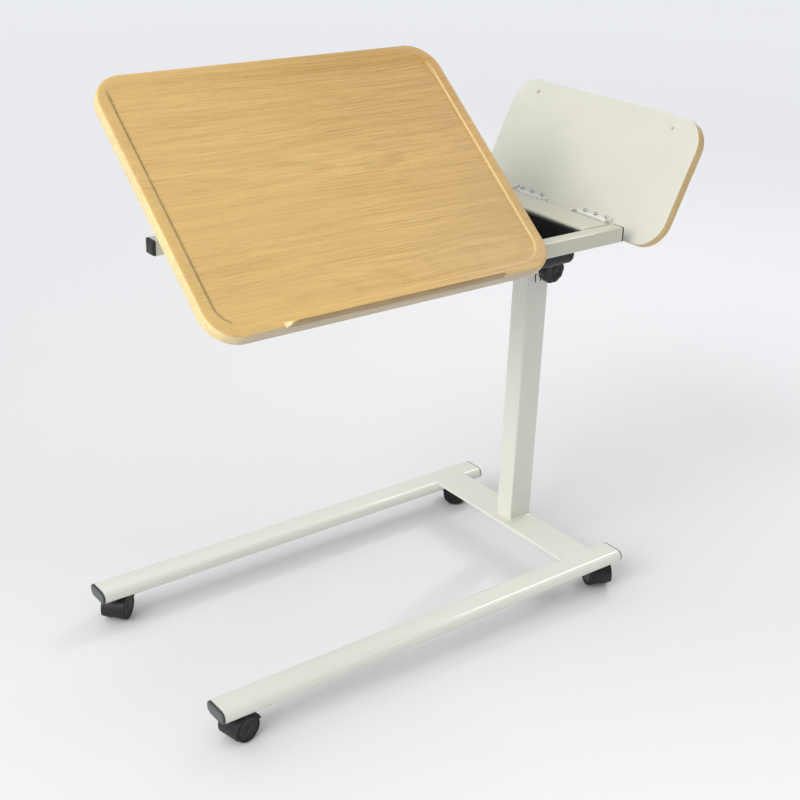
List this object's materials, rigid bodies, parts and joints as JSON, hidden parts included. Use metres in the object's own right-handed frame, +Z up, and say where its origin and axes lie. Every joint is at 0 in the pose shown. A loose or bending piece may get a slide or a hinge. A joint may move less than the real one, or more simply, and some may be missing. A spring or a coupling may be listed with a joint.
{
  "type": "overbed table",
  "caption": "Overbed table on a C-shaped castor stand with a height-adjusting mast, a tilting main top, and a flip-up side top over a storage tray.",
  "frame": {"origin": "on the floor under the middle of the whole table's bounding box", "axes": "+Z up; X runs along the feet, with the mast near the +X end; Y runs across the feet, with the tilting top's hinge edge on the -Y side"},
  "size_m": [0.8466, 0.4305, 0.861],
  "materials": {
    "frame_paint": "satin powder coat, pale warm grey",
    "bright_steel": "satin",
    "oak_laminate": "light oak laminate, satin",
    "oak_edge": "light oak edge, satin",
    "black_plastic": "moulded, satin",
    "black_tyre": "matte",
    "bumper_rubber": "matte",
    "black_tray": "fine moulded texture",
    "grey_plug": "satin",
    "bush_plastic": "satin"
  },
  "bodies": {
    "base": {"near_foot_tube": "frame_paint", "far_foot_tube": "frame_paint", "near_front_foot_plug": "grey_plug", "near_rear_foot_plug": "grey_plug", "far_front_foot_plug": "grey_plug", "far_rear_foot_plug": "grey_plug", "base_cross_plate": "frame_paint", "outer_mast": "frame_paint", "mast_guide_bush": "bush_plastic", "clamp_boss": "frame_paint", "near_front_castor_stem": "bright_steel", "far_front_castor_stem": "bright_steel", "near_rear_castor_stem": "bright_steel", "far_rear_castor_stem": "bright_steel"},
    "near_front_castor": {"near_front_castor_hood": "black_plastic"},
    "near_front_wheel_left": {"near_front_castor_wheel_left": "black_tyre"},
    "near_front_wheel_right": {"near_front_castor_wheel_right": "black_tyre"},
    "far_front_castor": {"far_front_castor_hood": "black_plastic"},
    "far_front_wheel_left": {"far_front_castor_wheel_left": "black_tyre"},
    "far_front_wheel_right": {"far_front_castor_wheel_right": "black_tyre"},
    "near_rear_castor": {"near_rear_castor_hood": "black_plastic"},
    "near_rear_wheel_left": {"near_rear_castor_wheel_left": "black_tyre"},
    "near_rear_wheel_right": {"near_rear_castor_wheel_right": "black_tyre"},
    "far_rear_castor": {"far_rear_castor_hood": "black_plastic"},
    "far_rear_wheel_left": {"far_rear_castor_wheel_left": "black_tyre"},
    "far_rear_wheel_right": {"far_rear_castor_wheel_right": "black_tyre"},
    "clamp_knob": {"clamp_knob": "black_plastic", "clamp_stud": "bright_steel"},
    "upper_frame": {"inner_mast": "frame_paint", "near_rail": "frame_paint", "far_rail": "frame_paint", "near_left_rail_cap": "black_plastic", "near_right_rail_cap": "black_plastic", "far_left_rail_cap": "black_plastic", "far_right_rail_cap": "black_plastic", "right_cross_tube": "frame_paint", "left_cross_tube": "frame_paint", "stay_track": "frame_paint", "storage_tray": "black_tray", "tray_ledge": "frame_paint", "near_lid_hinge_bracket": "frame_paint", "far_lid_hinge_bracket": "frame_paint", "near_lid_hinge_pin": "bright_steel", "far_lid_hinge_pin": "bright_steel", "left_top_hinge_fixed_leaf": "bright_steel", "right_top_hinge_fixed_leaf": "bright_steel", "left_top_hinge_pin": "bright_steel", "right_top_hinge_pin": "bright_steel"},
    "main_top": {"main_top_board": "oak_laminate", "book_stop": "oak_edge", "left_top_hinge_moving_leaf": "bright_steel", "right_top_hinge_moving_leaf": "bright_steel", "stay_bracket": "frame_paint", "stay_pivot_pin": "bright_steel"},
    "tilt_stay": {"tilt_stay_arm": "frame_paint"},
    "small_top": {"small_top_board": "oak_laminate", "near_lid_hinge_leaf": "frame_paint", "far_lid_hinge_leaf": "frame_paint", "near_lid_bumper": "bumper_rubber", "far_lid_bumper": "bumper_rubber"}
  },
  "joints": [
    {"name": "near_front_castor_swivel", "type": "hinge", "parent": "base", "child": "near_front_castor", "pos_m": [-0.395, -0.179, 0.045], "axis": [0, 0, 1], "continuous": true},
    {"name": "near_front_left_wheel_spin", "type": "hinge", "parent": "near_front_castor", "child": "near_front_wheel_left", "pos_m": [-0.38326, -0.1765, 0.0215], "axis": [-0.2079, 0.9781, 0], "continuous": true},
    {"name": "near_front_right_wheel_spin", "type": "hinge", "parent": "near_front_castor", "child": "near_front_wheel_right", "pos_m": [-0.38326, -0.1765, 0.0215], "axis": [-0.2079, 0.9781, 0], "continuous": true},
    {"name": "far_front_castor_swivel", "type": "hinge", "parent": "base", "child": "far_front_castor", "pos_m": [-0.395, 0.179, 0.045], "axis": [0, 0, 1], "continuous": true},
    {"name": "far_front_left_wheel_spin", "type": "hinge", "parent": "far_front_castor", "child": "far_front_wheel_left", "pos_m": [-0.38581, 0.18671, 0.0215], "axis": [-0.6428, 0.766, 0], "continuous": true},
    {"name": "far_front_right_wheel_spin", "type": "hinge", "parent": "far_front_castor", "child": "far_front_wheel_right", "pos_m": [-0.38581, 0.18671, 0.0215], "axis": [-0.6428, 0.766, 0], "continuous": true},
    {"name": "near_rear_castor_swivel", "type": "hinge", "parent": "base", "child": "near_rear_castor", "pos_m": [0.3074, -0.179, 0.045], "axis": [0, 0, 1], "continuous": true},
    {"name": "near_rear_left_wheel_spin", "type": "hinge", "parent": "near_rear_castor", "child": "near_rear_wheel_left", "pos_m": [0.31209, -0.16795, 0.0215], "axis": [-0.9205, 0.3907, 0], "continuous": true},
    {"name": "near_rear_right_wheel_spin", "type": "hinge", "parent": "near_rear_castor", "child": "near_rear_wheel_right", "pos_m": [0.31209, -0.16795, 0.0215], "axis": [-0.9205, 0.3907, 0], "continuous": true},
    {"name": "far_rear_castor_swivel", "type": "hinge", "parent": "base", "child": "far_rear_castor", "pos_m": [0.3074, 0.179, 0.045], "axis": [0, 0, 1], "continuous": true},
    {"name": "far_rear_left_wheel_spin", "type": "hinge", "parent": "far_rear_castor", "child": "far_rear_wheel_left", "pos_m": [0.29794, 0.18639, 0.0215], "axis": [-0.6157, -0.788, 0], "continuous": true},
    {"name": "far_rear_right_wheel_spin", "type": "hinge", "parent": "far_rear_castor", "child": "far_rear_wheel_right", "pos_m": [0.29794, 0.18639, 0.0215], "axis": [-0.6157, -0.788, 0], "continuous": true},
    {"name": "height_slide", "type": "slide", "parent": "base", "child": "upper_frame", "axis": [0, 0, 1], "range_m": [0, 0.25]},
    {"name": "clamp_knob_turn", "type": "hinge", "parent": "base", "child": "clamp_knob", "pos_m": [0.272, -0.03, 0.5245], "axis": [0, -1, 0], "range_deg": [0, 360]},
    {"name": "main_top_tilt", "type": "hinge", "parent": "upper_frame", "child": "main_top", "pos_m": [-0.1495, -0.1565, 0.621], "axis": [1, 0, 0], "range_deg": [-39.24, 0]},
    {"name": "tilt_stay_fold", "type": "hinge", "parent": "main_top", "child": "tilt_stay", "pos_m": [-0.148, -0.04815, 0.70175], "axis": [1, 0, 0], "range_deg": [0, 80]},
    {"name": "small_top_flip", "type": "hinge", "parent": "upper_frame", "child": "small_top", "pos_m": [0.3151, 0, 0.609], "axis": [0, -1, 0], "range_deg": [0, 115.54]}
  ],
  "couplings": [
    {"joint": "tilt_stay_fold", "follows": "main_top_tilt", "ratio": -2.019}
  ]
}
